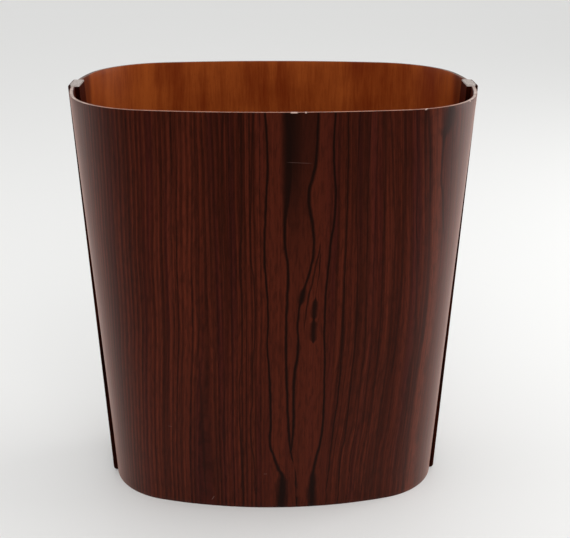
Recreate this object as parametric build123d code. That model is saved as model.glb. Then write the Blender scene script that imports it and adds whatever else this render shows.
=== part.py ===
from build123d import *
import os
from math import atan2, cos, hypot, pi, sin, sqrt

# An oval wastebasket of two bent plywood shells, joined down each side by a grooved solid batten, with a
# plywood bottom panel wedged between them. Millimetres. +X is right, the front shell faces -Y, +Z is up, and
# the origin is on the floor at the middle of the footprint.

# ---- Driving dimensions ----

HEIGHT = 330.0

# Outer outline at the rim and at the floor: a quarter of it is a front arc, a corner arc and a side arc,
# each tangent to the next. The wall between the two outlines is straight. The battens' outer lips stand
# proud of it by batten_lip.
RIM = {
    "half_width": 154.0,
    "half_depth": 108.0,
    "front_radius": 560.0,
    "corner_radius": 70.0,
    "side_radius": 210.0,
    "batten_lip": 1.9,
}
FLOOR = {
    "half_width": 134.5,
    "half_depth": 74.5,
    "front_radius": 310.0,
    "corner_radius": 60.0,
    "side_radius": 160.0,
    "batten_lip": 2.9,
}

# Plies of a shell, from the outside in
FACE_VENEER = 0.6
CORE = 1.8
LINING_VENEER = 0.6
SHELL = FACE_VENEER + CORE + LINING_VENEER
EASED_EDGE = 0.4  # the veneers stop this far short of the rim and of the floor

# Grooved battens
BATTEN_WIDTH = 25.0
BATTEN_WEB = 9.0  # solid wood left between the ends of the two shells
BATTEN_RISE = 1.2  # the battens stand this far above the rim; their grooves stop at the rim
INNER_LIP = 3.8
OUTER_ROUNDING = 1.4  # of the outer lip's long edges
INNER_CHAMFER = 0.6  # of the inner lip's long edges
TOE_RADIUS = 2.5  # rounding of the outer lip's lower end
HEAD_RADIUS = 1.6  # rounding of the outer lip's upper end

# Bottom panel
PANEL_CLEARANCE = 8.0  # from the floor to the panel's underside
PANEL_OUTER_PLY = 1.2
PANEL_CORE_PLY = 3.2

HALF_WEB = BATTEN_WEB / 2
CUT_MARGIN = 20.0  # how far cutting blocks reach past what they cut


# ---- Outline of the wall ----


def quarter_arcs(outline, inset):
    """The three arcs of the front right quarter, as (centre, radius, first angle, last angle), from the side
    to the front, for a face that lies inset inside the outer outline."""
    front_centre = (0.0, outline["front_radius"] - outline["half_depth"])
    side_centre = (outline["half_width"] - outline["side_radius"], 0.0)
    reach_front = outline["front_radius"] - outline["corner_radius"]
    reach_side = outline["side_radius"] - outline["corner_radius"]

    # The corner's centre is reach_front from the front arc's centre and reach_side from the side arc's.
    dx = side_centre[0] - front_centre[0]
    dy = side_centre[1] - front_centre[1]
    apart = hypot(dx, dy)
    along = (reach_front**2 - reach_side**2 + apart**2) / (2 * apart)
    across = sqrt(reach_front**2 - along**2)
    corner_centre = (
        front_centre[0] + (dx * along - dy * across) / apart,
        front_centre[1] + (dy * along + dx * across) / apart,
    )

    side_turn = atan2(corner_centre[1] - side_centre[1], corner_centre[0] - side_centre[0])
    front_turn = atan2(corner_centre[1] - front_centre[1], corner_centre[0] - front_centre[0])
    side_radius = outline["side_radius"] - inset
    web_turn = -atan2(HALF_WEB, sqrt(side_radius**2 - HALF_WEB**2))
    return [
        (side_centre, side_radius, web_turn, side_turn),
        (corner_centre, outline["corner_radius"] - inset, side_turn, front_turn),
        (front_centre, outline["front_radius"] - inset, front_turn, -pi / 2),
    ]


def face_edges(outline, inset, z):
    """The front half of one face at height z, from its right end to its left end, as five arcs."""
    side, corner, front = quarter_arcs(outline, inset)
    whole_front = (front[0], front[1], front[2], -pi - front[2])
    left_corner, left_side = [(centre, radius, last, first) for centre, radius, first, last in (corner, side)]
    arcs = [(1, side), (1, corner), (1, whole_front), (-1, left_corner), (-1, left_side)]

    edges = []
    for flip, (centre, radius, first, last) in arcs:
        angles = (first, (first + last) / 2, last)
        points = [(flip * (centre[0] + radius * cos(a)), centre[1] + radius * sin(a), z) for a in angles]
        edges.append(ThreePointArc(*points))
    return edges


def ply_section(outline, outer_inset, inner_inset, z):
    """The edges round one ply at height z, each starting where the one before it ends."""
    outer = face_edges(outline, outer_inset, z)
    inner = face_edges(outline, inner_inset, z)
    way_back = [ThreePointArc(arc @ 1, arc @ 0.5, arc @ 0) for arc in reversed(inner)]
    left_end = Line(outer[-1] @ 1, way_back[0] @ 0)
    right_end = Line(way_back[-1] @ 1, outer[0] @ 0)
    return outer + [left_end] + way_back + [right_end]


def ruled_solid(lower, upper):
    """The solid between two closed sections with matching edges, with straight lines up its sides."""
    faces = [Face(Wire(lower)), Face(Wire(upper))]
    for low, high in zip(lower, upper):
        faces.append(Face.make_surface_from_curves(Edge(low.wrapped), Edge(high.wrapped)))
    return Solid(Shell(faces))


def half_shell(outer_inset, inner_inset):
    """The front half of the wall between two insets, over the whole height."""
    lower = ply_section(FLOOR, outer_inset, inner_inset, 0.0)
    upper = ply_section(RIM, outer_inset, inner_inset, HEIGHT)
    return ruled_solid(lower, upper)


# ---- Sub-parts ----


def slab(bottom, top):
    """A block wider than the basket between two heights."""
    width = 2 * (RIM["half_width"] + CUT_MARGIN)
    depth = 2 * (RIM["half_depth"] + CUT_MARGIN)
    return Pos(0, 0, (bottom + top) / 2) * Box(width, depth, top - bottom)


def front_plies():
    """The three plies of the front shell. Only the core reaches the rim and the floor."""
    between_edges = slab(EASED_EDGE, HEIGHT - EASED_EDGE)
    core_outside = FACE_VENEER
    core_inside = FACE_VENEER + CORE
    return {
        "face_veneer": half_shell(0.0, core_outside) & between_edges,
        "core": half_shell(core_outside, core_inside),
        "lining": half_shell(core_inside, SHELL) & between_edges,
    }


def batten_section(z):
    """The batten's outline at height z, before its edges are eased and its grooves are cut."""
    share = z / HEIGHT
    half_width, lip = [
        FLOOR[name] * (1 - share) + RIM[name] * share for name in ("half_width", "batten_lip")
    ]
    outside = half_width + lip
    inside = half_width - SHELL - INNER_LIP
    half = BATTEN_WIDTH / 2
    corners = [(outside, -half), (outside, half), (inside, half), (inside, -half)]
    return Polyline(*[(x, y, z) for x, y in corners], close=True).edges()


def right_batten(shells):
    """The right batten: a bar with a rounded outer lip and a groove for each shell."""
    bar = ruled_solid(batten_section(0.0), batten_section(HEIGHT + BATTEN_RISE))
    for end, radius in ((0, TOE_RADIUS), (-1, HEAD_RADIUS)):
        edge = bar.edges().filter_by(Axis.Y).group_by(Axis.Z)[end].sort_by(Axis.X)[-1]
        bar = fillet(edge, radius)
    long_edges = bar.edges().filter_by(lambda edge: edge.length > HEIGHT / 2).sort_by(Axis.X)
    bar = chamfer(long_edges[:2], INNER_CHAMFER)
    outer_edges = bar.edges().filter_by(lambda edge: edge.length > HEIGHT / 2).sort_by(Axis.X)[-2:]
    bar = fillet(outer_edges, OUTER_ROUNDING)
    for shell in shells:
        bar = bar - shell
    return bar.solid()


def panel_ply(bottom, top, walls):
    """One ply of the bottom panel: what lies inside the walls and between the battens."""
    ply = slab(bottom, top)
    for wall in walls:
        ply = ply - wall
    return ply.solids().sort_by_distance((0, 0, bottom))[0]


def panel_plies(walls):
    """The bottom panel's plies, from the underside up."""
    plies = {}
    bottom = PANEL_CLEARANCE
    for name, thickness in (
        ("bottom_lower_ply", PANEL_OUTER_PLY),
        ("bottom_core_ply", PANEL_CORE_PLY),
        ("bottom_upper_ply", PANEL_OUTER_PLY),
    ):
        plies[name] = panel_ply(bottom, bottom + thickness, walls)
        bottom += thickness
    return plies


def basket():
    """Every sub-part by the name of its node."""
    nodes = {}
    for name, ply in front_plies().items():
        nodes["front_" + name] = ply
        nodes["back_" + name] = mirror(ply, about=Plane.XZ)

    front_wall = half_shell(0.0, SHELL)
    back_wall = mirror(front_wall, about=Plane.XZ)
    nodes["right_batten"] = right_batten([front_wall, back_wall])
    nodes["left_batten"] = mirror(nodes["right_batten"], about=Plane.YZ)

    walls = [front_wall, back_wall, nodes["right_batten"], nodes["left_batten"]]
    nodes.update(panel_plies(walls))
    return nodes


os.makedirs("parts", exist_ok=True)
for node, shape in basket().items():
    export_step(shape, f"parts/{node}.step")
    print(f"{node}: {shape.volume:.0f} mm3")
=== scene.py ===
"""A wastebasket of two bent plywood shells joined by grooved battens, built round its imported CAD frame."""

import math

import bmesh
import bpy
import numpy as np
from mathutils import Matrix, Vector, noise


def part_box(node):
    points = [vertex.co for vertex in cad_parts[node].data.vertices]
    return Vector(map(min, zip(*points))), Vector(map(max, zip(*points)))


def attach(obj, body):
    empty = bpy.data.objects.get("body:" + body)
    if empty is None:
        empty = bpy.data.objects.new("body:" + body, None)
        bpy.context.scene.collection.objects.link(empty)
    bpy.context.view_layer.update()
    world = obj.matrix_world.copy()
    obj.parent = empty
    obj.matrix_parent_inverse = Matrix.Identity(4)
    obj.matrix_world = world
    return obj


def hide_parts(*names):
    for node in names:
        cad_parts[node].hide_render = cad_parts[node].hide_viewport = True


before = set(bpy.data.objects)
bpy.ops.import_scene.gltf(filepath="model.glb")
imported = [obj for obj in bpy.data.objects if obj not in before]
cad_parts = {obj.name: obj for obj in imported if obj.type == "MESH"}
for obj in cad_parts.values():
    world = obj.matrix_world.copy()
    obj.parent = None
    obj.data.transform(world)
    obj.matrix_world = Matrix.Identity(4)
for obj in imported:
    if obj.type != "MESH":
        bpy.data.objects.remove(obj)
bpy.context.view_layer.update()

# ---- Dimensions, in millimetres unless a name says otherwise ----

MM = 0.001
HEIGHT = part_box("front_core")[1].z / MM

# Outer outline at the rim and at the floor: front arc, corner arc and side arc, each tangent to the next
RIM = {"width": 154.0, "depth": 108.0, "front": 560.0, "corner": 70.0, "side": 210.0, "lip": 1.9}
FLOOR = {"width": 134.5, "depth": 74.5, "front": 310.0, "corner": 60.0, "side": 160.0, "lip": 2.9}

FACE_VENEER = 0.6
CORE = 1.8
LINING_VENEER = 0.6
SHELL = FACE_VENEER + CORE + LINING_VENEER
EASE = 0.45  # rounding of the wall's edges at the rim and at the floor

# Slight unevenness of the moulded shells: its height, how far apart its swellings are across and along, how
# far above the floor it begins and is full, and how far from the middle it begins to fade and is gone
WAVE_HEIGHT = 0.22
WAVE_ACROSS = 55.0
WAVE_ALONG = 95.0
WAVE_BEGINS = 20.0
WAVE_FULL = 60.0
WAVE_FADES = 155.0
WAVE_GONE = 185.0
WAVE_SEED = 4.2

BATTEN_HALF = 12.5
WEB_HALF = 4.5  # half of the solid wood between the ends of the two shells
BATTEN_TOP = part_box("right_batten")[1].z / MM
INNER_LIP = 3.8
INNER_CHAMFER = 0.6
LIP_ROUNDING = 1.4  # of the outer lip's long edges, carried along the edges of the head and the toe
TOE_RADIUS = 2.5
HEAD_RADIUS = 1.6

# Mesh steps: round a batten lip's edge, along the wall's arcs, up the wall, and up a batten and its head
LIP_STEPS = 4
SIDE_STEPS = 6
CORNER_STEPS = 30
FRONT_STEPS = 96
ROW_STEP = 4.0
BATTEN_STEPS = 26
BATTEN_EVEN = (12.0, 4.0)  # a batten's rows are even from this far above the floor to this far below the rim
HEAD_STEPS = 5
WELD = 0.001  # points closer than this are one point
SHARP_ANGLE = math.radians(35)  # faces that meet at more than this are shaded with a sharp edge


# ---- The wall's surface ----


def quarter_arcs(outline, inset):
    """The arcs of the front right quarter, from the side to the front, as (centre, radius, first angle, last
    angle)."""
    front_centre = np.array([0.0, outline["front"] - outline["depth"]])
    side_centre = np.array([outline["width"] - outline["side"], 0.0])
    reach_front = outline["front"] - outline["corner"]
    reach_side = outline["side"] - outline["corner"]
    apart = side_centre - front_centre
    distance = np.hypot(*apart)
    along = (reach_front**2 - reach_side**2 + distance**2) / (2 * distance)
    across = math.sqrt(reach_front**2 - along**2)
    sideways = np.array([-apart[1], apart[0]])
    corner_centre = front_centre + (apart * along + sideways * across) / distance

    to_side = corner_centre - side_centre
    to_front = corner_centre - front_centre
    side_turn = math.atan2(to_side[1], to_side[0])
    front_turn = math.atan2(to_front[1], to_front[0])
    side_radius = outline["side"] - inset
    web_turn = -math.asin(WEB_HALF / side_radius)
    return [
        (side_centre, side_radius, web_turn, side_turn),
        (corner_centre, outline["corner"] - inset, side_turn, front_turn),
        (front_centre, outline["front"] - inset, front_turn, -math.pi / 2),
    ]


def half_outline(outline, inset):
    """Points along the front half of a face, from its left end to its right end."""
    points = []
    steps = (SIDE_STEPS, CORNER_STEPS, FRONT_STEPS // 2)
    for (centre, radius, first, last), count in zip(quarter_arcs(outline, inset), steps):
        for angle in np.linspace(first, last, count + 1)[:-1]:
            points.append(centre + radius * np.array([math.cos(angle), math.sin(angle)]))
    middle = np.array([[0.0, inset - outline["depth"]]])
    right = np.array(points)
    left = right * [-1, 1]
    return np.vstack([left, middle, right[::-1]])


def wall_row(z, inset):
    """Points along the front half of the wall at height z, inset from its outer face."""
    share = z / HEIGHT
    return half_outline(FLOOR, inset) * (1 - share) + half_outline(RIM, inset) * share


def arc_lengths(row):
    """Distance along a row from its middle, negative to the left."""
    steps = np.hypot(*np.diff(row, axis=0).T)
    run = np.concatenate([[0.0], np.cumsum(steps)])
    return run - run[len(run) // 2]


# ---- Mesh helpers ----


def mesh_object(name, vertices, faces, materials, slots, uvs=None):
    """An object from points in millimetres. slots gives each face's material, and uvs each point's place on
    the veneer's sheet."""
    mesh = bpy.data.meshes.new(name)
    mesh.from_pydata([tuple(np.asarray(v) * MM) for v in vertices], [], faces)
    for material in materials:
        mesh.materials.append(material)
    mesh.polygons.foreach_set("material_index", slots)
    if uvs is not None:
        layer = mesh.uv_layers.new(name="sheet")
        for loop in mesh.loops:
            layer.data[loop.index].uv = uvs[loop.vertex_index]
    work = bmesh.new()
    work.from_mesh(mesh)
    bmesh.ops.remove_doubles(work, verts=work.verts, dist=WELD * MM)
    bmesh.ops.recalc_face_normals(work, faces=work.faces)
    work.to_mesh(mesh)
    work.free()
    mesh.polygons.foreach_set("use_smooth", [True] * len(mesh.polygons))
    mesh.set_sharp_from_angle(angle=SHARP_ANGLE)
    piece = bpy.data.objects.new(name, mesh)
    bpy.context.scene.collection.objects.link(piece)
    return piece


def stand_for(piece, node):
    """piece rides on the basket's one body in place of a CAD node."""
    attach(piece, "root")
    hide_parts(node)
    return piece


# ---- Shader helpers ----


class Graph:
    """A material and short ways to add nodes to it. Values are numbers, colours or other nodes' sockets."""

    def __init__(self, name):
        self.material = bpy.data.materials.new(name)
        self.material.use_nodes = True
        self.tree = self.material.node_tree
        self.shader = self.tree.nodes["Principled BSDF"]

    def add(self, kind, **settings):
        """A new node of this kind, with these settings."""
        node = self.tree.nodes.new("ShaderNode" + kind)
        for key, value in settings.items():
            setattr(node, key, value)
        return node

    def feed(self, socket, value):
        """Links a socket to another node's, or sets its value."""
        if isinstance(value, bpy.types.NodeSocket):
            self.tree.links.new(value, socket)
        else:
            socket.default_value = value

    def math(self, operation, a, b=0.0, c=0.0):
        node = self.add("Math", operation=operation)
        for socket, value in zip(node.inputs, (a, b, c)):
            self.feed(socket, value)
        return node.outputs[0]

    def plus(self, a, b):
        return self.math("ADD", a, b)

    def minus(self, a, b):
        return self.math("SUBTRACT", a, b)

    def times(self, a, b):
        return self.math("MULTIPLY", a, b)

    def step(self, value, start, end, low=0.0, high=1.0):
        """Goes smoothly from low to high as value goes from start to end."""
        node = self.add("MapRange", interpolation_type="SMOOTHSTEP")
        for socket, number in zip(node.inputs, (value, start, end, low, high)):
            self.feed(socket, number)
        return node.outputs[0]

    def vector(self, x=0.0, y=0.0, z=0.0):
        node = self.add("CombineXYZ")
        for socket, value in zip(node.inputs, (x, y, z)):
            self.feed(socket, value)
        return node.outputs[0]

    def noise(self, vector, scale=1.0, detail=2.0, roughness=0.5):
        node = self.add("TexNoise")
        self.feed(node.inputs["Vector"], vector)
        node.inputs["Scale"].default_value = scale
        node.inputs["Detail"].default_value = detail
        node.inputs["Roughness"].default_value = roughness
        return node.outputs["Fac"]

    def streaks(self, across, along, width, length, seed=0.0, detail=2.0):
        """Noise stretched along the grain, for streaks of about this width and length."""
        return self.noise(
            self.vector(self.times(across, 1 / width), self.times(along, 1 / length), seed), detail=detail
        )

    def blend(self, share, a, b):
        """Colour a where share is 0 and b where it is 1."""
        node = self.add("Mix", data_type="RGBA")
        self.feed(node.inputs["Factor"], share)
        for socket, colour in ((node.inputs["A"], a), (node.inputs["B"], b)):
            self.feed(socket, colour)
        return node.outputs["Result"]

    def curve(self, value, points, low, high):
        """A smooth curve through (input, output) points, for inputs from 0 to HEIGHT."""
        node = self.add("FloatCurve")
        line = node.mapping.curves[0]
        places = [(x / HEIGHT, (y - low) / (high - low)) for x, y in sorted(points)]
        line.points[0].location = places[0]
        line.points[1].location = places[-1]
        for place in places[1:-1]:
            line.points.new(*place)
        node.mapping.update()
        self.feed(node.inputs["Value"], self.times(value, 1 / HEIGHT))
        return self.plus(self.times(node.outputs[0], high - low), low)

    def bump(self, height, distance, strength=1.0):
        """Fine relief on the surface, with its depth in metres."""
        node = self.add("Bump")
        node.inputs["Strength"].default_value = strength
        node.inputs["Distance"].default_value = distance
        self.feed(node.inputs["Height"], height)
        self.feed(self.shader.inputs["Normal"], node.outputs[0])

    def sheet(self):
        """Millimetres across and along a veneer's sheet."""
        uv = self.add("UVMap", uv_map="sheet")
        parts = self.add("SeparateXYZ")
        self.feed(parts.inputs[0], uv.outputs[0])
        return self.times(parts.outputs[0], 1 / MM), self.times(parts.outputs[1], 1 / MM)

    def place(self):
        """Millimetres along X, Y and Z of the object's own frame."""
        here = self.add("TexCoord")
        parts = self.add("SeparateXYZ")
        self.feed(parts.inputs[0], here.outputs["Object"])
        return [self.times(parts.outputs[axis], 1 / MM) for axis in range(3)]


def rgb(red, green, blue):
    return (red, green, blue, 1.0)


# ---- Materials ----

# Millimetres from one plain stripe of the face veneer to the next, left and right of its middle, and how far
# the stripes wander to and fro
LEFT_SPACING = 3.55
RIGHT_SPACING = 5.0
STRIPE_WANDER = 3.5
LINING_WANDER = 8.0

# Lacquers: the tint of the mirror image straight on, and the index of refraction that sets its strength at a
# low angle
FACE_MIRROR = 0.05
LINING_MIRROR = 0.10
BATTEN_MIRROR = 0.05
LACQUER_IOR = 1.31
BATTEN_IOR = 1.11

# Face veneer
FACE_DEEP = rgb(0.031, 0.0048, 0.0019)
FACE_PALE = rgb(0.080, 0.0130, 0.0055)
FACE_PURPLE = rgb(0.038, 0.0050, 0.0044)
FACE_QUIET = rgb(0.067, 0.0110, 0.0047)
FACE_BRIGHT = rgb(0.102, 0.020, 0.0093)
PALE_LINE = rgb(0.110, 0.0215, 0.0100)
DARK_LINE = rgb(0.0034, 0.0012, 0.0007)
FACE_MOTTLE = rgb(0.011, 0.0022, 0.0010)
FACE_PORE = rgb(0.008, 0.002, 0.0013)
SCRATCH = rgb(0.26, 0.15, 0.13)
FACE_NICK = rgb(0.55, 0.38, 0.32)
FACE_DUST = rgb(0.84, 0.42, 0.31)

# Lining veneer
LINING_DEEP = rgb(0.15, 0.0195, 0.0028)
LINING_PALE = rgb(0.32, 0.069, 0.011)
LINING_FLECK = rgb(0.085, 0.012, 0.0025)
# Painted shade for the lining's deep corners beside the battens
LINING_PAINTED_SHADE = rgb(0.030, 0.0025, 0.0006)

# Ply edges at the rim and the foot, each between a deep and a pale colour
FRONT_EDGE = (rgb(0.24, 0.080, 0.042), rgb(0.43, 0.168, 0.095))
SIDE_EDGE = (rgb(0.34, 0.25, 0.21), rgb(0.55, 0.43, 0.375))
BACK_EDGE = (rgb(0.060, 0.030, 0.018), rgb(0.150, 0.075, 0.045))
EDGE_FIBRE = rgb(0.10, 0.05, 0.035)
EDGE_SOIL = rgb(0.05, 0.02, 0.014)
EDGE_NICK = rgb(0.66, 0.50, 0.44)

# Core ply's faces, battens and their end grain, each between a deep and a pale colour
CORE_WOOD = (rgb(0.42, 0.25, 0.18), rgb(0.62, 0.42, 0.32))
BATTEN_WOOD = (rgb(0.0050, 0.0009, 0.0004), rgb(0.026, 0.0040, 0.0012))
BATTEN_DUST = rgb(0.60, 0.05, 0.01)
END_GRAIN = (rgb(0.30, 0.25, 0.225), rgb(0.50, 0.44, 0.41))
END_PORE = rgb(0.12, 0.09, 0.08)

# Plies of the bottom panel, each between a deep and a pale colour
PANEL_TOP = (rgb(0.16, 0.045, 0.014), rgb(0.33, 0.10, 0.03))
PANEL_CORE = (rgb(0.36, 0.24, 0.15), rgb(0.55, 0.40, 0.27))
PANEL_UNDER = (rgb(0.30, 0.19, 0.11), rgb(0.50, 0.34, 0.21))


def figure_line(path, width, strength=1.0):
    """A line of the figure: (height, place across) points, (height, half width) points or one half width,
    and how strongly it shows."""
    if isinstance(width, float):
        width = [(HEIGHT, width), (0, width)]
    return {"path": path, "width": width, "strength": strength}


# The bent line right of the middle, and the line beside the bright band near the right side
BEND_PATH = [
    (330, 29.5), (305, 29), (282, 26.2), (270, 23.8), (257, 25), (245, 27), (230, 28), (215, 26.2),
    (200, 22.5), (190, 20), (165, 17), (150, 17.5), (117, 14.5), (80, 14.5), (52, 13), (0, 13),
]

EDGE_PATH = [
    (330, 106.5), (308, 109.5), (277, 112.5), (246, 114.5), (215, 116.8), (184, 117.8), (155, 117),
    (130, 114.5), (108, 113), (40, 109.5), (0, 108),
]

# The front veneer's figure, from left to right
FIGURE = [
    figure_line(
        [(330, -55), (230, -56.7), (170, -58), (100, -57), (0, -56)],
        [(330, 0.3), (250, 0.7), (190, 0.5), (150, 0.2), (90, 0.8), (40, 0.7), (0, 0.3)],
        strength=0.55,
    ),
    figure_line(
        [(330, -42.5), (206, -45.5), (166, -43), (120, -46), (74, -46.5), (0, -46)],
        [(330, 1.6), (206, 2.0), (166, 1.0), (110, 0.8), (70, 1.5), (0, 0.8)],
        strength=0.38,
    ),
    figure_line(
        [(330, -35), (237, -37.8), (200, -36.7), (120, -38), (74, -40), (0, -39)],
        [(330, 0.5), (250, 0.4), (110, 0.3), (85, 0.6), (70, 1.0), (60, 0.4), (0, 0.3)],
        strength=0.6,
    ),
    figure_line(
        [(330, -30.4), (240, -31), (110, -32.5), (0, -32)],
        [(330, 0.35), (150, 0.3), (90, 0.0), (0, 0.0)],
        strength=0.55,
    ),
    figure_line(
        [(330, -23.3), (243, -23.8), (214, -25.5), (188, -24.4), (141, -24.6), (108, -27.3), (43, -26),
         (0, -25.5)],
        [(330, 0.5), (200, 0.45), (100, 0.3), (60, 0.55), (0, 0.4)],
        strength=0.75,
    ),
    figure_line(
        [(330, -15), (270, -16.8), (230, -17.8), (205, -15.6), (174, -14.6), (148, -15.6), (130, -17),
         (103, -17), (79, -19), (43, -16.2), (0, -15)],
        0.38,
        strength=0.7,
    ),
    figure_line(
        [(330, -7), (290, -5.2), (267, -6.2), (225, -7.5), (190, -5.5), (170, -5), (150, -5.8),
         (130, -4.5), (80, -3.2), (65, -3.8), (52, -1.2), (37, 3), (25, 6.2), (0, 5)],
        [(330, 0.45), (230, 0.5), (130, 0.4), (105, 0.6), (60, 0.6), (34, 1.0), (24, 2.3), (0, 2.8)],
    ),
    figure_line(
        [(330, 9.5), (280, 9.5), (255, 7.5), (242, 7), (225, 8), (210, 9.5), (170, 8.5), (140, 8.5),
         (105, 9.5), (67, 11.2), (52, 12.8), (30, 16.5), (0, 17.5)],
        [(330, 2.8), (290, 2.6), (262, 1.4), (240, 0.7), (200, 0.6), (90, 0.6), (52, 0.5), (40, 0.15),
         (32, 0.3), (0, 0.45)],
    ),
    figure_line(
        BEND_PATH,
        [(330, 0.6), (270, 0.9), (230, 0.6), (200, 0.6), (192, 1.5), (188, 1.5), (182, 0.5), (130, 0.7),
         (60, 0.5), (48, 0.0), (0, 0.0)],
    ),
    figure_line(
        [(330, 34), (231, 32.5), (217, 30), (200, 27), (185, 24), (170, 22.5), (155, 21.5), (0, 20)],
        [(330, 0.0), (240, 0.0), (228, 0.3), (185, 0.35), (165, 0.2), (155, 0.0), (0, 0.0)],
        strength=0.8,
    ),
    figure_line(
        [(330, 33), (225, 33), (190, 30), (160, 28.8), (0, 28.8)],
        [(330, 0.0), (232, 0.0), (220, 0.25), (190, 0.2), (185, 1.1), (174, 1.3), (171, 0.5), (167, 1.4),
         (155, 1.3), (149, 0.0), (0, 0.0)],
        strength=0.95,
    ),
    figure_line(
        [(330, 41.5), (305, 40.8), (265, 42.8), (235, 40.5), (212, 38.8), (175, 37), (130, 38), (105, 38),
         (80, 37.5), (60, 35.5), (45, 32.5), (30, 30.5), (0, 29.5)],
        [(330, 0.4), (280, 0.5), (200, 0.5), (100, 0.45), (60, 0.6), (36, 0.8), (26, 1.7), (0, 2.1)],
    ),
    figure_line(
        [(330, 50.2), (250, 51.4), (200, 50.9), (153, 50.9), (100, 48.6), (69, 45.5), (35, 43.2),
         (0, 41.2)],
        [(330, 0.35), (200, 0.45), (157, 0.7), (120, 0.4), (60, 0.35), (0, 0.35)],
        strength=0.8,
    ),
    figure_line(
        [(330, 58.2), (264, 58.2), (220, 60.3), (184, 61.2), (153, 60.9), (113, 58.6), (69, 55.9),
         (38, 52.0), (0, 51.2)],
        [(330, 0.35), (190, 0.5), (172, 1.0), (150, 0.5), (60, 0.4), (0, 0.4)],
        strength=0.75,
    ),
    figure_line(
        [(330, 61.4), (264, 61.8), (200, 64.3), (150, 64.0), (113, 61.6), (69, 58.6), (30, 55), (0, 54)],
        [(330, 3.0), (230, 3.2), (180, 2.0), (120, 1.0), (0, 0.8)],
        strength=0.36,
    ),
    figure_line(
        [(330, 65.9), (264, 66.0), (220, 67.3), (175, 68.2), (149, 68.8), (118, 66.4), (78, 64.5),
         (42, 60.5), (0, 58.6)],
        [(330, 0.3), (170, 0.45), (40, 0.3), (0, 0.3)],
        strength=0.6,
    ),
    figure_line(
        [(330, 71), (264, 72), (197, 73), (153, 73.6), (118, 72), (78, 70), (42, 66), (0, 63.5)],
        0.4,
        strength=0.5,
    ),
    figure_line(
        [(330, 75.5), (286, 78), (250, 79), (197, 80), (144, 79.5), (100, 77), (60, 74.5), (0, 70)],
        [(330, 0.9), (250, 0.6), (140, 0.5), (0, 0.3)],
        strength=0.6,
    ),
    figure_line(
        [(330, 79.5), (264, 85.5), (228, 88.2), (184, 88.6), (144, 87.7), (80, 83), (0, 78.5)],
        0.4,
        strength=0.5,
    ),
    figure_line(
        [(330, 89), (290, 91.8), (240, 93.6), (197, 94.5), (150, 93.2), (80, 88), (0, 84)],
        [(330, 0.7), (230, 0.8), (150, 0.5), (90, 0.0), (0, 0.0)],
        strength=0.55,
    ),
    figure_line(
        [(330, 98.2), (286, 101.8), (246, 103.6), (215, 106.4), (166, 109), (150, 110.2), (118, 107.7),
         (100, 107.3), (50, 104), (0, 102)],
        [(330, 0.4), (170, 0.6), (150, 1.0), (100, 0.8), (60, 0.3), (0, 0.2)],
        strength=0.6,
    ),
    figure_line(
        EDGE_PATH,
        [(330, 0.6), (200, 0.8), (150, 0.9), (60, 0.5), (0, 0.4)],
        strength=0.6,
    ),
    figure_line(
        [(330, 124), (121, 124), (90, 122), (52, 120.6), (0, 120)],
        [(330, 0.0), (132, 0.0), (121, 1.6), (108, 0.5), (70, 0.5), (52, 1.6), (42, 0.0), (0, 0.0)],
        strength=0.45,
    ),
    figure_line(
        [(330, 127), (317, 126), (308, 122.5), (285, 122.5), (263, 126), (241, 129.4), (208, 134),
         (0, 136)],
        [(330, 1.4), (317, 3.0), (309, 1.4), (300, 0.7), (263, 0.6), (241, 0.5), (208, 0.0), (0, 0.0)],
        strength=0.8,
    ),
]

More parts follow.
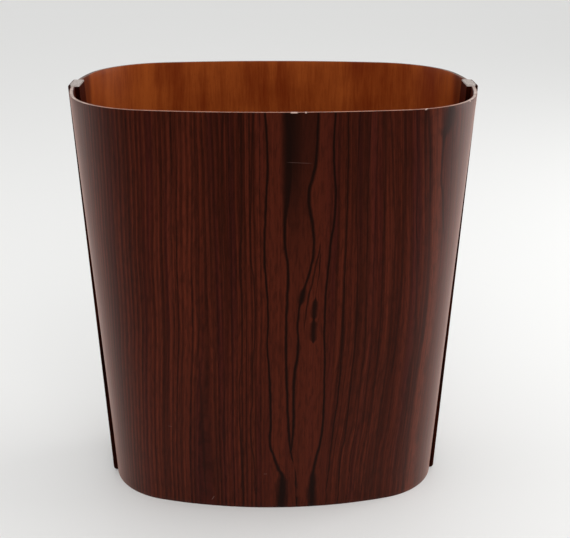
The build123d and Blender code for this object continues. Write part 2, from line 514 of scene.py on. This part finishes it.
# Pale lines among the plain stripes, from left to right
PALE_FIGURE = [
    figure_line(
        [(330, -108), (280, -108.4), (228, -110.5), (190, -111.6), (153, -112.7), (95, -115.5),
         (50, -119), (0, -121)],
        [(330, 0.7), (200, 0.5), (160, 0.9), (60, 0.6), (0, 0.3)],
        strength=0.6,
    ),
    figure_line(
        [(330, -91), (272, -92.3), (215, -93.6), (166, -94), (130, -96.4), (100, -98.6), (0, -103)],
        [(330, 0.4), (272, 0.6), (190, 0.5), (150, 1.0), (100, 0.6), (0, 0.3)],
        strength=0.6,
    ),
    figure_line(
        [(330, -83.2), (314, -83.6), (252, -85.4), (217, -87.2), (177, -86.9), (133, -90), (66, -93.2),
         (22, -94), (0, -94.3)],
        [(330, 0.3), (252, 0.6), (215, 0.8), (130, 0.8), (20, 0.6), (0, 0.4)],
        strength=0.9,
    ),
    figure_line(
        [(330, -73.5), (277, -74.5), (228, -76.4), (197, -76.8), (153, -78.2), (122, -80), (90, -81.2),
         (0, -85)],
        [(330, 0.2), (260, 0.8), (150, 0.9), (90, 0.4), (0, 0.2)],
        strength=0.85,
    ),
    figure_line(
        [(330, -63.5), (240, -64.5), (184, -64.5), (130, -67.3), (70, -70.5), (20, -71.8), (0, -72)],
        [(330, 0.3), (240, 0.7), (100, 0.6), (0, 0.4)],
        strength=0.7,
    ),
    figure_line(
        [(330, -57.5), (285, -58.2), (220, -59.6), (190, -58.4), (153, -60), (60, -62), (0, -62)],
        [(330, 0.6), (250, 1.1), (150, 0.7), (0, 0.3)],
        strength=0.6,
    ),
    figure_line(
        [(330, -48), (200, -50), (162, -51), (117, -54.5), (80, -55.3), (0, -54)],
        [(330, 0.0), (170, 0.0), (150, 1.1), (80, 1.1), (60, 0.0), (0, 0.0)],
        strength=0.6,
    ),
    figure_line(
        [(330, 68.4), (270, 68.6), (230, 70), (170, 71), (120, 69.5), (60, 66), (0, 62)],
        [(330, 1.6), (180, 1.6), (140, 0.9), (60, 0.5), (0, 0.4)],
        strength=0.7,
    ),
    figure_line(
        [(330, 81), (290, 83.6), (220, 85.5), (135, 85.3), (82, 81.4), (0, 79)],
        [(330, 0.5), (230, 1.0), (100, 0.8), (0, 0.7)],
        strength=0.7,
    ),
    figure_line(
        [(330, 97), (250, 102), (197, 107), (150, 107.2), (110, 104), (60, 99), (0, 96)],
        [(330, 0.3), (215, 0.4), (195, 1.2), (140, 1.1), (120, 0.5), (0, 0.7)],
        strength=0.8,
    ),
]

# How far the plain stripes lie from their places at the rim, as (height, distance) points: left of the
# figure, and as a fall near the floor, right of it. The rise is a share of a shift that grows to the right.
LEFT_LEAN = [
    (330, 0), (252, -2.6), (217, -3.9), (180, -4.3), (155, -5.2), (128, -7), (66, -10), (22, -11),
    (0, -11.4),
]
RIGHT_FALL = [
    (330, 0), (165, 0), (150, -0.6), (118, -2.8), (78, -5.0), (42, -8.6), (0, -10.3),
]
RIGHT_RISE = [
    (330, 0), (280, 0.36), (240, 0.7), (200, 0.95), (165, 1.0), (0, 1.0),
]

WIDEST_LINE = 4.0  # half width

# Light scratches in the lacquer: place across, height, half length, half width, slope in degrees
SCRATCHES = [
    (-50.0, 7.5, 2.6, 0.45, 60.0),
    (-7.5, 33.0, 1.7, 0.3, 2.0),
    (-83.0, 73.0, 2.0, 0.25, -4.0),
    (17.0, 294.0, 10.0, 0.16, -3.0),
]

# Nicks in the front rim where the pale core shows: place across and half length
NICKS = [(13.0, 3.0), (21.0, 0.7), (105.0, 1.0), (152.0, 1.2)]


def line_centre(graph, along, path):
    """A line's place across at each height."""
    places = [place for _, place in path]
    return graph.curve(along, path, min(places) - 1, max(places) + 1)


def soft_line(graph, across, along, line, wobble):
    """Where one line of the figure lies, from 0 to its strength. It has soft edges, and it is gone where its
    width comes near nothing."""
    half = graph.curve(along, line["width"], 0.0, WIDEST_LINE)
    centre = line_centre(graph, along, line["path"])
    off = graph.math("ABSOLUTE", graph.minus(graph.plus(across, wobble), centre))
    ratio = graph.math("DIVIDE", off, graph.plus(graph.times(half, 1.25), 0.02))
    shown = graph.step(half, 0.05, 0.3, 0.0, line["strength"])
    return graph.times(graph.step(ratio, 0.3, 2.4, 1.0, 0.0), shown)


def strongest_line(graph, across, along, lines, wobble):
    """Where any of these lines lies, from 0 to its strength."""
    shown = 0.0
    for line in lines:
        shown = graph.math("MAXIMUM", shown, soft_line(graph, across, along, line, wobble))
    return shown


def figure(graph, across, along, seed):
    """The dark lines of the figure with the dark heart between the middle streak and the bent line, and the
    pale lines, each from 0 to 1."""
    small = graph.minus(graph.streaks(across, along, 8.0, 9.0, seed + 41, 3.0), 0.5)
    ragged = graph.minus(graph.streaks(across, along, 2.0, 14.0, seed + 43, 3.0), 0.5)
    wobble = graph.plus(graph.times(small, 0.9), graph.times(ragged, graph.step(along, 40, 22, 0.9, 5.0)))
    dark = strongest_line(graph, across, along, FIGURE, wobble)
    pale = strongest_line(graph, across, along, PALE_FIGURE, wobble)

    # The heart is darkest beside the streak and at the rim, and fades to the right and downwards.
    from_bend = graph.minus(line_centre(graph, along, BEND_PATH), across)
    inside = graph.times(graph.step(across, 7.5, 10), graph.step(from_bend, 0, 1.5))
    depth = graph.step(across, 11.5, 22, 0.98, 0.62)
    heart = graph.times(graph.times(inside, depth), graph.step(along, 195, 310, 0.14, 1.0))
    return graph.math("MAXIMUM", dark, heart), pale


def pinstripes(graph, across, along, spacing, width, seed):
    """Thin dark lines along the grain, each with its own strength, fading in and out."""
    cells = graph.add("TexVoronoi", voronoi_dimensions="1D", feature="F1")
    cells.inputs["Randomness"].default_value = 0.35
    cells.inputs["Scale"].default_value = 1.0
    graph.feed(cells.inputs["W"], graph.plus(graph.times(across, 1 / spacing), seed))
    line = graph.step(cells.outputs["Distance"], 0.0, width / spacing, 1.0, 0.0)
    own = graph.add("SeparateColor")
    graph.feed(own.inputs[0], cells.outputs["Color"])
    strength = graph.plus(graph.times(own.outputs[0], 0.6), 0.4)
    fading = graph.streaks(across, along, spacing * 0.8, 80.0, seed, 3.0)
    broken = graph.streaks(across, along, 1.2, 7.0, seed + 2, 3.0)
    shown = graph.times(graph.step(fading, 0.25, 0.6, 0.4, 1.0), graph.step(broken, 0.36, 0.6, 0.45, 1.0))
    return graph.times(graph.times(line, strength), shown)


def rhythm(graph, across, along, spacing, seed):
    """An even run of dark and light stripes whose phase wanders, from -1 to 1."""
    phase = graph.noise(graph.vector(graph.times(across, 0.03), graph.times(along, 0.005), seed + 51))
    turns = graph.plus(graph.times(across, 1 / spacing), graph.times(phase, 1.5))
    return graph.math("SINE", graph.times(turns, 2 * math.pi))


def scratches(graph, across, along):
    """Where the light scratches are, from 0 to 1."""
    marked = 0.0
    for place, height, length, width, slope in SCRATCHES:
        turn = math.radians(slope)
        x = graph.minus(across, place)
        z = graph.minus(along, height)
        lengthwise = graph.plus(graph.times(x, math.cos(turn)), graph.times(z, math.sin(turn)))
        crosswise = graph.minus(graph.times(z, math.cos(turn)), graph.times(x, math.sin(turn)))
        near = graph.step(graph.math("ABSOLUTE", lengthwise), length * 0.5, length, 1.0, 0.0)
        thin = graph.step(graph.math("ABSOLUTE", crosswise), width * 0.3, width, 1.0, 0.0)
        marked = graph.math("MAXIMUM", marked, graph.times(near, thin))
    return marked


def nicks(graph, across):
    """Where the front rim is nicked, from 0 to 1, along its length."""
    nicked = 0.0
    for place, half in NICKS:
        off = graph.math("ABSOLUTE", graph.minus(across, place))
        nicked = graph.math("MAXIMUM", nicked, graph.step(off, half * 0.5, half, 1.0, 0.0))
    return nicked


def lacquer(graph, base, mirror_tint, roughness, ior=LACQUER_IOR):
    """Satin lacquer: almost no mirror image straight on, and a pale gloss at a low angle."""
    graph.feed(graph.shader.inputs["Base Color"], base)
    graph.feed(graph.shader.inputs["Roughness"], roughness)
    graph.shader.inputs["IOR"].default_value = ior
    graph.shader.inputs["Specular Tint"].default_value = rgb(mirror_tint, mirror_tint, mirror_tint)


def dusty_sheen(graph, weight, roughness, tint):
    """A soft tinted sheen at low angles, as fine dust and wear give."""
    graph.shader.inputs["Sheen Weight"].default_value = weight
    graph.shader.inputs["Sheen Roughness"].default_value = roughness
    graph.shader.inputs["Sheen Tint"].default_value = tint


def lean(graph, across, along):
    """How far the plain stripes beside the figure have moved sideways from their places at the rim."""
    left = graph.times(graph.curve(along, LEFT_LEAN, -12, 1), graph.step(across, -46, -62))
    fall = graph.times(graph.curve(along, RIGHT_FALL, -11, 1), graph.step(across, 32, 44))
    rise = graph.times(graph.curve(along, RIGHT_RISE, -0.5, 1.5), graph.step(across, 40, 104, 0.0, 9.0))
    return graph.plus(left, graph.plus(fall, rise))


def stripe_lanes(graph, across, along, seed, figured):
    """The place across with the stripes' wander and lean taken out, and the same squeezed right of the
    middle, where the stripes lie further apart."""
    spot = graph.vector(graph.times(across, 0.015), graph.times(along, 0.009), seed)
    drift = graph.times(graph.minus(graph.noise(spot), 0.5), STRIPE_WANDER)
    if figured:
        drift = graph.plus(drift, lean(graph, across, along))
    lane = graph.minus(across, drift)
    right = graph.math("MAXIMUM", lane, 0.0)
    even = graph.plus(graph.math("MINIMUM", lane, 0.0), graph.times(right, LEFT_SPACING / RIGHT_SPACING))
    return lane, even


def face_ground(graph, across, along, lane, even, fine, seed):
    """Colour between the stripes: broad bands, finer ones, and a drift between orange and purplish red, all
    a little deeper near the rim."""
    broad = graph.streaks(lane, along, 22.0, 420.0, seed + 3)
    medium = graph.streaks(lane, along, 4.5, 320.0, seed + 7, 3.0)
    smaller = graph.plus(graph.times(medium, 0.3), graph.times(fine, 0.4))
    tone = graph.plus(graph.times(broad, 0.3), smaller)
    beat_strength = graph.step(across, -20, 40, 0.07, 0.03)
    beat = graph.times(rhythm(graph, even, along, LEFT_SPACING, seed), beat_strength)
    tone = graph.minus(graph.plus(tone, beat), graph.step(along, 200, HEIGHT, 0.0, 0.05))
    ground = graph.blend(graph.step(tone, 0.35, 0.67), FACE_DEEP, FACE_PALE)
    purple = graph.step(graph.streaks(lane, along, 6.0, 380.0, seed + 13), 0.5, 0.72, 0.0, 0.5)
    return graph.blend(purple, ground, FACE_PURPLE)


def plain_stripes(graph, along, even, seed):
    """Where the plain dark stripes and the thinner threads between them are, from 0 to 1."""
    stripes = pinstripes(graph, even, along, LEFT_SPACING, 1.3, seed + 21)
    threads = pinstripes(graph, even, along, LEFT_SPACING / 2, 0.75, seed + 31)
    return graph.math("MAXIMUM", graph.times(stripes, 0.82), graph.times(threads, 0.5))


def with_figure(graph, across, along, ground, plain, seed):
    """The ground and the dark stripes of a figured sheet."""
    # The wood between the middle streak and the line right of it has hardly any plain stripes.
    plain = graph.times(plain, graph.step(across, 30, 60, 1.0, 0.7))
    quiet = graph.times(graph.step(across, -14, -2), graph.step(across, 34, 46, 1.0, 0.0))
    dark = graph.times(plain, graph.minus(1.0, graph.times(quiet, 0.75)))
    ground = graph.blend(graph.times(quiet, 0.6), ground, FACE_QUIET)

    from_edge = graph.minus(across, line_centre(graph, along, EDGE_PATH))
    bright = graph.times(graph.step(from_edge, 1.5, 4), graph.step(from_edge, 9, 14, 1.0, 0.0))
    ground = graph.blend(graph.times(bright, 0.7), ground, FACE_BRIGHT)

    marks, pale = figure(graph, across, along, seed)
    dark = graph.math("MAXIMUM", graph.times(dark, graph.minus(1.0, graph.times(pale, 0.75))), marks)
    ground = graph.blend(graph.times(pale, 0.22), ground, PALE_LINE)
    return ground, dark


def with_wear(graph, across, along, colour):
    """The colour with light scratches, and with nicks in the sheet's upper edge."""
    colour = graph.blend(graph.times(scratches(graph, across, along), 0.3), colour, SCRATCH)
    worn = graph.times(nicks(graph, across), graph.step(along, HEIGHT - 0.7, HEIGHT - 0.3))
    return graph.blend(graph.times(worn, 0.8), colour, FACE_NICK)


def face_veneer(name, seed, figured):
    """Dark reddish-brown veneer with near-black lines, under satin lacquer."""
    graph = Graph(name)
    across, along = graph.sheet()
    lane, even = stripe_lanes(graph, across, along, seed, figured)
    fine = graph.streaks(lane, along, 0.8, 90.0, seed + 11, 4.0)
    pores = graph.streaks(lane, along, 0.28, 7.0, seed + 17, 2.0)
    mottle = graph.streaks(lane, along, 1.6, 11.0, seed + 37, 3.0)

    ground = face_ground(graph, across, along, lane, even, fine, seed)
    dark = plain_stripes(graph, along, even, seed)
    if figured:
        ground, dark = with_figure(graph, across, along, ground, dark, seed)
    colour = graph.blend(graph.times(dark, 0.94), ground, DARK_LINE)
    colour = graph.blend(graph.step(mottle, 0.45, 0.68, 0.0, 0.38), colour, FACE_MOTTLE)
    colour = graph.blend(graph.step(pores, 0.60, 0.74, 0.0, 0.4), colour, FACE_PORE)
    if figured:
        colour = with_wear(graph, across, along, colour)

    lacquer(graph, colour, FACE_MIRROR, graph.step(fine, 0.2, 0.8, 0.33, 0.42))
    dusty_sheen(graph, 0.40, 0.36, FACE_DUST)
    graph.bump(graph.plus(graph.times(pores, -0.6), graph.times(fine, 0.4)), 0.00005, 0.5)
    return graph.material


def lining_veneer(name, seed, shade_edges, most_shade):
    """Orange-brown veneer with soft ribbons, clouds and short flecks, under satin lacquer. It has painted
    shade beside the battens, where the corners lie deep; the two shade edges are the distances from its
    middle where that shade begins and is full."""
    graph = Graph(name)
    across, along = graph.sheet()
    spot = graph.vector(graph.times(across, 0.02), graph.times(along, 0.01), seed)
    wander = graph.minus(graph.noise(spot), 0.5)
    lane = graph.plus(across, graph.times(wander, LINING_WANDER))
    ribbons = graph.streaks(lane, along, 16.0, 200.0, seed + 5, 3.0)
    clouds = graph.streaks(lane, along, 34.0, 40.0, seed + 9, 4.0)
    fine = graph.streaks(lane, along, 1.4, 18.0, seed + 13, 3.0)
    flecks = graph.streaks(lane, along, 0.4, 3.5, seed + 17, 1.0)
    smaller = graph.plus(graph.times(clouds, 0.32), graph.times(fine, 0.20))
    tone = graph.plus(graph.times(ribbons, 0.48), smaller)
    colour = graph.blend(graph.step(tone, 0.34, 0.68), LINING_DEEP, LINING_PALE)
    colour = graph.blend(graph.step(flecks, 0.60, 0.78, 0.0, 0.35), colour, LINING_FLECK)
    # Painted shade: the lining is darkened beside the battens, where its corners lie deep
    corner_shade = graph.step(graph.math("ABSOLUTE", across), *shade_edges, 0.0, most_shade)
    colour = graph.blend(corner_shade, colour, LINING_PAINTED_SHADE)
    lacquer(graph, colour, LINING_MIRROR, graph.step(fine, 0.2, 0.8, 0.36, 0.48))
    graph.bump(graph.plus(graph.times(flecks, -0.5), graph.times(fine, 0.3)), 0.00005, 0.4)
    return graph.material


def rim_edge(name, soiled=0.0):
    """Sanded and worn edge of a ply: salmon in front, pale grey at the sides and dark at the back. soiled is
    how much darker than bare wood it is all round, from 0 to 1."""
    graph = Graph(name)
    x, y, z = graph.place()
    spot = graph.vector(x, y, z)
    spots = graph.step(graph.noise(spot, 0.12, 4.0, 0.6), 0.35, 0.65)
    fibres = graph.noise(spot, 1.6, 2.0)
    front, side, back = [graph.blend(spots, *colours) for colours in (FRONT_EDGE, SIDE_EDGE, BACK_EDGE)]
    sideways = graph.step(graph.math("ABSOLUTE", x), 112, 147)
    colour = graph.blend(graph.step(y, -20, 35), graph.blend(sideways, front, side), back)
    colour = graph.blend(graph.step(fibres, 0.5, 0.75, 0.0, 0.35), colour, EDGE_FIBRE)
    colour = graph.blend(soiled, colour, EDGE_SOIL)
    worn = graph.times(nicks(graph, x), graph.step(y, -60, -90))
    colour = graph.blend(graph.times(worn, 0.7), colour, EDGE_NICK)
    graph.feed(graph.shader.inputs["Base Color"], colour)
    graph.feed(graph.shader.inputs["Roughness"], graph.step(fibres, 0.3, 0.7, 0.45, 0.62))
    graph.shader.inputs["Specular Tint"].default_value = rgb(0.4, 0.4, 0.4)
    graph.bump(fibres, 0.00008, 0.5)
    return graph.material


def core_wood(name):
    """The hidden faces of the core plies, and of the veneers where they are glued to them."""
    graph = Graph(name)
    x, y, z = graph.place()
    fibres = graph.streaks(graph.plus(x, y), z, 0.8, 30.0, 3.0, 3.0)
    colour = graph.blend(graph.step(fibres, 0.35, 0.65), *CORE_WOOD)
    graph.feed(graph.shader.inputs["Base Color"], colour)
    graph.feed(graph.shader.inputs["Roughness"], graph.step(fibres, 0.3, 0.7, 0.5, 0.65))
    return graph.material


def batten_wood(name):
    """Solid dark hardwood with its grain along the batten, under thin lacquer."""
    graph = Graph(name)
    x, y, z = graph.place()
    side = graph.plus(x, graph.times(y, 0.7))
    bands = graph.streaks(side, z, 2.4, 150.0, 2.0, 3.0)
    fine = graph.streaks(graph.plus(side, graph.times(y, 1.3)), z, 0.35, 12.0, 5.0, 3.0)
    tone = graph.plus(graph.times(bands, 0.6), graph.times(fine, 0.4))
    colour = graph.blend(graph.step(tone, 0.35, 0.65), *BATTEN_WOOD)
    lacquer(graph, colour, BATTEN_MIRROR, graph.step(fine, 0.2, 0.8, 0.50, 0.65), BATTEN_IOR)
    dusty_sheen(graph, 0.12, 0.4, BATTEN_DUST)
    graph.bump(fine, 0.0001, 0.5)
    return graph.material


def end_grain(name):
    """Weathered grey end grain with dark pores."""
    graph = Graph(name)
    x, y, z = graph.place()
    rings = graph.noise(graph.vector(graph.times(x, 1.2), graph.times(y, 0.25), 0.0), 1.0, 3.0)
    pores = graph.noise(graph.vector(x, y, z), 3.0, 1.0)
    colour = graph.blend(graph.step(rings, 0.35, 0.65), *END_GRAIN)
    colour = graph.blend(graph.step(pores, 0.58, 0.7, 0.0, 0.6), colour, END_PORE)
    graph.feed(graph.shader.inputs["Base Color"], colour)
    graph.feed(graph.shader.inputs["Roughness"], graph.step(rings, 0.3, 0.7, 0.6, 0.8))
    graph.bump(pores, 0.0001, 0.5)
    return graph.material


def panel_wood(name, colours, seed):
    """A ply of the bottom panel, with its grain along the basket's width."""
    graph = Graph(name)
    x, y, z = graph.place()
    lane = graph.plus(y, graph.times(graph.noise(graph.vector(x, y, seed), 0.012), 14.0))
    bands = graph.streaks(lane, x, 7.0, 150.0, seed, 4.0)
    fine = graph.streaks(lane, x, 0.5, 9.0, seed + 4, 2.0)
    tone = graph.plus(graph.times(bands, 0.65), graph.times(fine, 0.35))
    graph.feed(graph.shader.inputs["Base Color"], graph.blend(graph.step(tone, 0.35, 0.65), *colours))
    graph.feed(graph.shader.inputs["Roughness"], graph.step(fine, 0.2, 0.8, 0.5, 0.66))
    graph.bump(fine, 0.00008, 0.5)
    return graph.material


# ---- Pieces ----


def wave(place, z):
    """How far the wall stands out of its true shape, at a place along it and a height."""
    full_up = min(1.0, max(0.0, (z - WAVE_BEGINS) / (WAVE_FULL - WAVE_BEGINS)))
    full_across = min(1.0, max(0.0, (WAVE_GONE - abs(place)) / (WAVE_GONE - WAVE_FADES)))
    swelling = noise.noise(Vector((place / WAVE_ACROSS, z / WAVE_ALONG, WAVE_SEED)))
    return WAVE_HEIGHT * full_up * full_across * swelling


def rounded_off(distance, radius):
    """How far a rounded edge lies inside its square corner, at a distance from the corner's other face."""
    short = max(radius - distance, 0.0)
    return radius - math.sqrt(radius**2 - short**2)


def ply_rows(outer, inner):
    """(height, outer inset, inner inset) of each row of a ply, with the wall's edges eased at both ends."""
    count = int((HEIGHT - 2 * EASE) / ROW_STEP)
    middle = list(np.linspace(EASE, HEIGHT - EASE, count + 1))
    low = [EASE * (1 - math.sin(math.radians(angle))) for angle in (90, 67, 45, 22)]
    rows = low + middle + [HEIGHT - z for z in reversed(low)]
    made = []
    for z in rows:
        eased = rounded_off(min(z, HEIGHT - z), EASE)
        made.append((z, max(outer, eased), min(inner, SHELL - eased)))
    return made


def outward(points):
    """Unit normals of a row of points along the wall, pointing out of the basket."""
    along = np.gradient(points, axis=0)
    normals = np.stack([along[:, 1], -along[:, 0]], axis=1)
    return normals / np.linalg.norm(normals, axis=1)[:, None]


def ply_face(rows, inset_column, side):
    """The points of one face of a ply, row by row from the floor up, and their places on its sheet."""
    vertices, uvs = [], []
    for row in rows:
        z = row[0]
        points = wall_row(z, row[inset_column])
        for point, run, normal in zip(points, arc_lengths(points), outward(points)):
            x, y = point + normal * wave(run, z)
            vertices.append((side * x, side * y, z))
            uvs.append((run * MM, z * MM))
    return vertices, uvs


def ply(name, outer, inner, side, face, edge, back):
    """One ply of a shell, with a material each for its outer face, its edges and its inner face. side is 1
    for the front shell and -1 for the back one."""
    rows = ply_rows(outer, inner)
    outer_points, outer_uvs = ply_face(rows, 1, side)
    inner_points, inner_uvs = ply_face(rows, 2, side)
    behind = len(outer_points)
    up = len(rows)
    across = behind // up

    quads = []
    for i in range(up - 1):
        for j in range(across - 1):
            a = i * across + j
            b = a + behind
            quads.append((a, a + 1, a + across + 1, a + across, 0))
            quads.append((b, b + across, b + across + 1, b + 1, 2))
        for j in (0, across - 1):
            a = i * across + j
            quads.append((a, a + across, a + across + behind, a + behind, 1))
    for i in (0, up - 1):
        for j in range(across - 1):
            a = i * across + j
            quads.append((a, a + 1, a + 1 + behind, a + behind, 1))
    faces = [quad[:4] for quad in quads]
    slots = [quad[4] for quad in quads]
    vertices = outer_points + inner_points
    return mesh_object(name, vertices, faces, [face, edge, back], slots, outer_uvs + inner_uvs)


def shells(materials):
    """The front and back shells, each of three plies."""
    core = materials["core"]
    core_inside = FACE_VENEER + CORE
    for half, side in (("front", 1), ("back", -1)):
        face = (materials[half + "_face"], materials["face_edge"], core)
        outer = ply(half + "_face_sheet", 0.0, FACE_VENEER, side, *face)
        stand_for(outer, half + "_face_veneer")
        bare = (core, materials["core_edge"], core)
        middle = ply(half + "_core_sheet", FACE_VENEER, core_inside, side, *bare)
        stand_for(middle, half + "_core")
        lining = (core, materials["lining_edge"], materials[half + "_lining"])
        inner = ply(half + "_lining_sheet", core_inside, SHELL, side, *lining)
        stand_for(inner, half + "_lining")


def side_x(y, z, inset):
    """Where the wall's side lies at a given depth and height."""
    row = wall_row(z, inset)
    half = len(row) // 2
    right = row[half:]
    return float(np.interp(-abs(y), right[:, 1], right[:, 0]))


def batten_section(z, grooved):
    """The right batten's outline at height z, clockwise from above, with its grooves open or filled."""
    share = z / HEIGHT
    below_top = BATTEN_TOP - z
    width = FLOOR["width"] * (1 - share) + RIM["width"] * share
    lip = FLOOR["lip"] * (1 - share) + RIM["lip"] * share
    outside = width + lip - rounded_off(z, TOE_RADIUS) - rounded_off(below_top, HEAD_RADIUS)
    inside = width - SHELL - INNER_LIP
    half = BATTEN_HALF - rounded_off(z, LIP_ROUNDING) - rounded_off(below_top, LIP_ROUNDING)

    corner = []
    for angle in np.linspace(0, math.pi / 2, LIP_STEPS + 1):
        x = outside - LIP_ROUNDING * (1 - math.cos(angle))
        corner.append((x, -half + LIP_ROUNDING * (1 - math.sin(angle))))
    groove = [-half, -(half + WEB_HALF) / 2, -WEB_HALF]
    wall = [(side_x(y, z, 0.0), y) for y in groove] + [(side_x(y, z, SHELL), y) for y in reversed(groove)]
    if not grooved:
        wall = [(x, -half) for x in np.linspace(wall[0][0], wall[-1][0], len(wall))]
    front_half = [(outside, -WEB_HALF)] + corner + wall
    front_half += [(inside + INNER_CHAMFER, -half), (inside, INNER_CHAMFER - half), (inside, -WEB_HALF)]
    back_half = [(x, -y) for x, y in reversed(front_half)]
    return front_half + back_half


def batten_rows():
    """(height, whether grooved) of each row of a batten, from the floor up. The rows are close together on
    the rounded toe and head, and two of them lie at the rim, where the grooves stop."""
    toe = [0.0, 0.15, 0.5, 0.9, 1.4, TOE_RADIUS]
    above_floor, below_rim = BATTEN_EVEN
    shaft = list(np.linspace(above_floor, HEIGHT - below_rim, BATTEN_STEPS + 1))
    rows = [(z, True) for z in toe + shaft + [HEIGHT - 0.15, HEIGHT]]
    rows.append((HEIGHT, False))
    for turn in np.linspace(0.2, math.pi / 2, HEAD_STEPS):
        rows.append((HEIGHT + (BATTEN_TOP - HEIGHT) * math.sin(turn), False))
    return rows


def batten(name, side, wood, ends):
    """A batten whose grooves stop at the rim. side is 1 on the right and -1 on the left. Its top, and its
    head inside the rounded outer lip, show end grain."""
    rows = batten_rows()
    sections = [batten_section(z, grooved) for z, grooved in rows]
    count = len(sections[0])
    # On each side of the outer lip's middle: its flat, its rounded edge, and the face in to the shell
    lip_faces = LIP_STEPS + 2
    vertices = [(side * x, y, z) for (z, _), section in zip(rows, sections) for x, y in section]
    faces, slots = [], []
    for row in range(len(rows) - 1):
        in_head = not rows[row][1]
        for j in range(count):
            a = row * count + j
            b = row * count + (j + 1) % count
            faces.append((a, b, b + count, a + count))
            on_lip = j < lip_faces or j >= count - lip_faces - 1
            slots.append(1 if in_head and not on_lip else 0)
    faces.append(tuple(range(count)))
    faces.append(tuple(range(len(vertices) - count, len(vertices))))
    slots += [0, 1]
    return mesh_object(name, vertices, faces, [wood, ends], slots)


def battens(materials):
    """The two battens, mirror images of each other."""
    for name, side in (("left", -1), ("right", 1)):
        piece = batten(name + "_side_batten", side, materials["batten"], materials["end_grain"])
        stand_for(piece, name + "_batten")


def dress(node, material):
    """Gives a CAD node that stays in view its material."""
    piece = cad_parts[node]
    piece.data.materials.clear()
    piece.data.materials.append(material)


def bottom_panel():
    """The panel's three plies, which are flat and keep their CAD shape."""
    dress("bottom_upper_ply", panel_wood("panel_top", PANEL_TOP, 3.0))
    dress("bottom_core_ply", panel_wood("panel_core", PANEL_CORE, 7.0))
    dress("bottom_lower_ply", panel_wood("panel_under", PANEL_UNDER, 11.0))


# ---- Studio ----

SENSOR = 36.0
FOCAL_SHARE = 1100.0 / 570.0  # focal length over the frame's width
CAMERA_PLACE = (-7.7, -844.7, 484.8)
CAMERA_PITCH = math.radians(19.95)
CAMERA_PAN = math.radians(1.148)
CAMERA_ROLL = math.radians(0.172)

FLOOR_REACH = 8.0  # metres from the middle to each side
FLOOR_PAINT = rgb(0.80, 0.80, 0.79)
WORLD_STRENGTH = 0.86

# Lamps: name, place and size in metres, and power in watts
LAMPS = [
    ("left_side", (-1.6, 0.1, 0.5), (1.2, 0.9), 5.0),
    ("right_side", (1.6, 0.3, 0.5), (1.2, 0.9), 17.0),
    ("above_camera", (0.2, -1.7, 1.7), (1.4, 1.0), 11.0),
]


def camera():
    """The camera, turned to the right by the pan, down by the pitch and about its own axis by the roll."""
    data = bpy.data.cameras.new("camera")
    data.sensor_width = SENSOR
    data.lens = FOCAL_SHARE * SENSOR
    viewer = bpy.data.objects.new("camera", data)
    bpy.context.scene.collection.objects.link(viewer)
    level = Vector((math.cos(CAMERA_PAN), -math.sin(CAMERA_PAN), 0.0))
    ahead = Vector((math.sin(CAMERA_PAN), math.cos(CAMERA_PAN), 0.0))
    forward = ahead * math.cos(CAMERA_PITCH) - Vector((0.0, 0.0, math.sin(CAMERA_PITCH)))
    above = level.cross(forward)
    right = level * math.cos(CAMERA_ROLL) + above * math.sin(CAMERA_ROLL)
    up = right.cross(forward)
    turn = Matrix((right, up, -forward)).transposed()
    viewer.matrix_world = Matrix.Translation(Vector(CAMERA_PLACE) * MM) @ turn.to_4x4()
    bpy.context.scene.camera = viewer


def area_light(name, place, size, power):
    """A soft lamp, aimed at the middle of the basket."""
    data = bpy.data.lights.new(name, "AREA")
    data.shape = "RECTANGLE"
    data.size, data.size_y = size
    data.energy = power
    lamp = bpy.data.objects.new(name, data)
    bpy.context.scene.collection.objects.link(lamp)
    lamp.location = place
    aim = Vector((0.0, 0.0, HEIGHT * MM / 2)) - Vector(place)
    lamp.rotation_euler = aim.to_track_quat("-Z", "Y").to_euler()


def plain_floor():
    """A wide pale floor under the basket."""
    mesh = bpy.data.meshes.new("floor")
    corners = [(x * FLOOR_REACH, y * FLOOR_REACH, 0.0) for x, y in ((-1, -1), (1, -1), (1, 1), (-1, 1))]
    mesh.from_pydata(corners, [], [(0, 1, 2, 3)])
    graph = Graph("floor")
    graph.shader.inputs["Base Color"].default_value = FLOOR_PAINT
    graph.shader.inputs["Roughness"].default_value = 0.6
    mesh.materials.append(graph.material)
    floor = bpy.data.objects.new("floor", mesh)
    bpy.context.scene.collection.objects.link(floor)


def studio():
    """The floor, an even white world and soft lamps."""
    plain_floor()
    world = bpy.data.worlds.new("studio")
    world.use_nodes = True
    background = world.node_tree.nodes["Background"]
    background.inputs["Color"].default_value = rgb(1.0, 1.0, 1.0)
    background.inputs["Strength"].default_value = WORLD_STRENGTH
    bpy.context.scene.world = world
    for lamp in LAMPS:
        area_light(*lamp)
    bpy.context.scene.view_settings.view_transform = "Standard"


def basket():
    """Every piece of the basket, with its materials."""
    materials = {
        "front_face": face_veneer("front_face_figure", 1.3, True),
        "back_face": face_veneer("back_face_figure", 47.9, False),
        "front_lining": lining_veneer("front_lining_figure", 5.1, (148, 176), 0.9),
        "back_lining": lining_veneer("back_lining_figure", 23.7, (172, 184), 0.6),
        "core": core_wood("core_ply"),
        "core_edge": rim_edge("core_edge"),
        "face_edge": rim_edge("face_edge", 0.55),
        "lining_edge": rim_edge("lining_edge", 0.4),
        "batten": batten_wood("batten_wood"),
        "end_grain": end_grain("batten_end"),
    }
    shells(materials)
    battens(materials)
    bottom_panel()


camera()
basket()
studio()
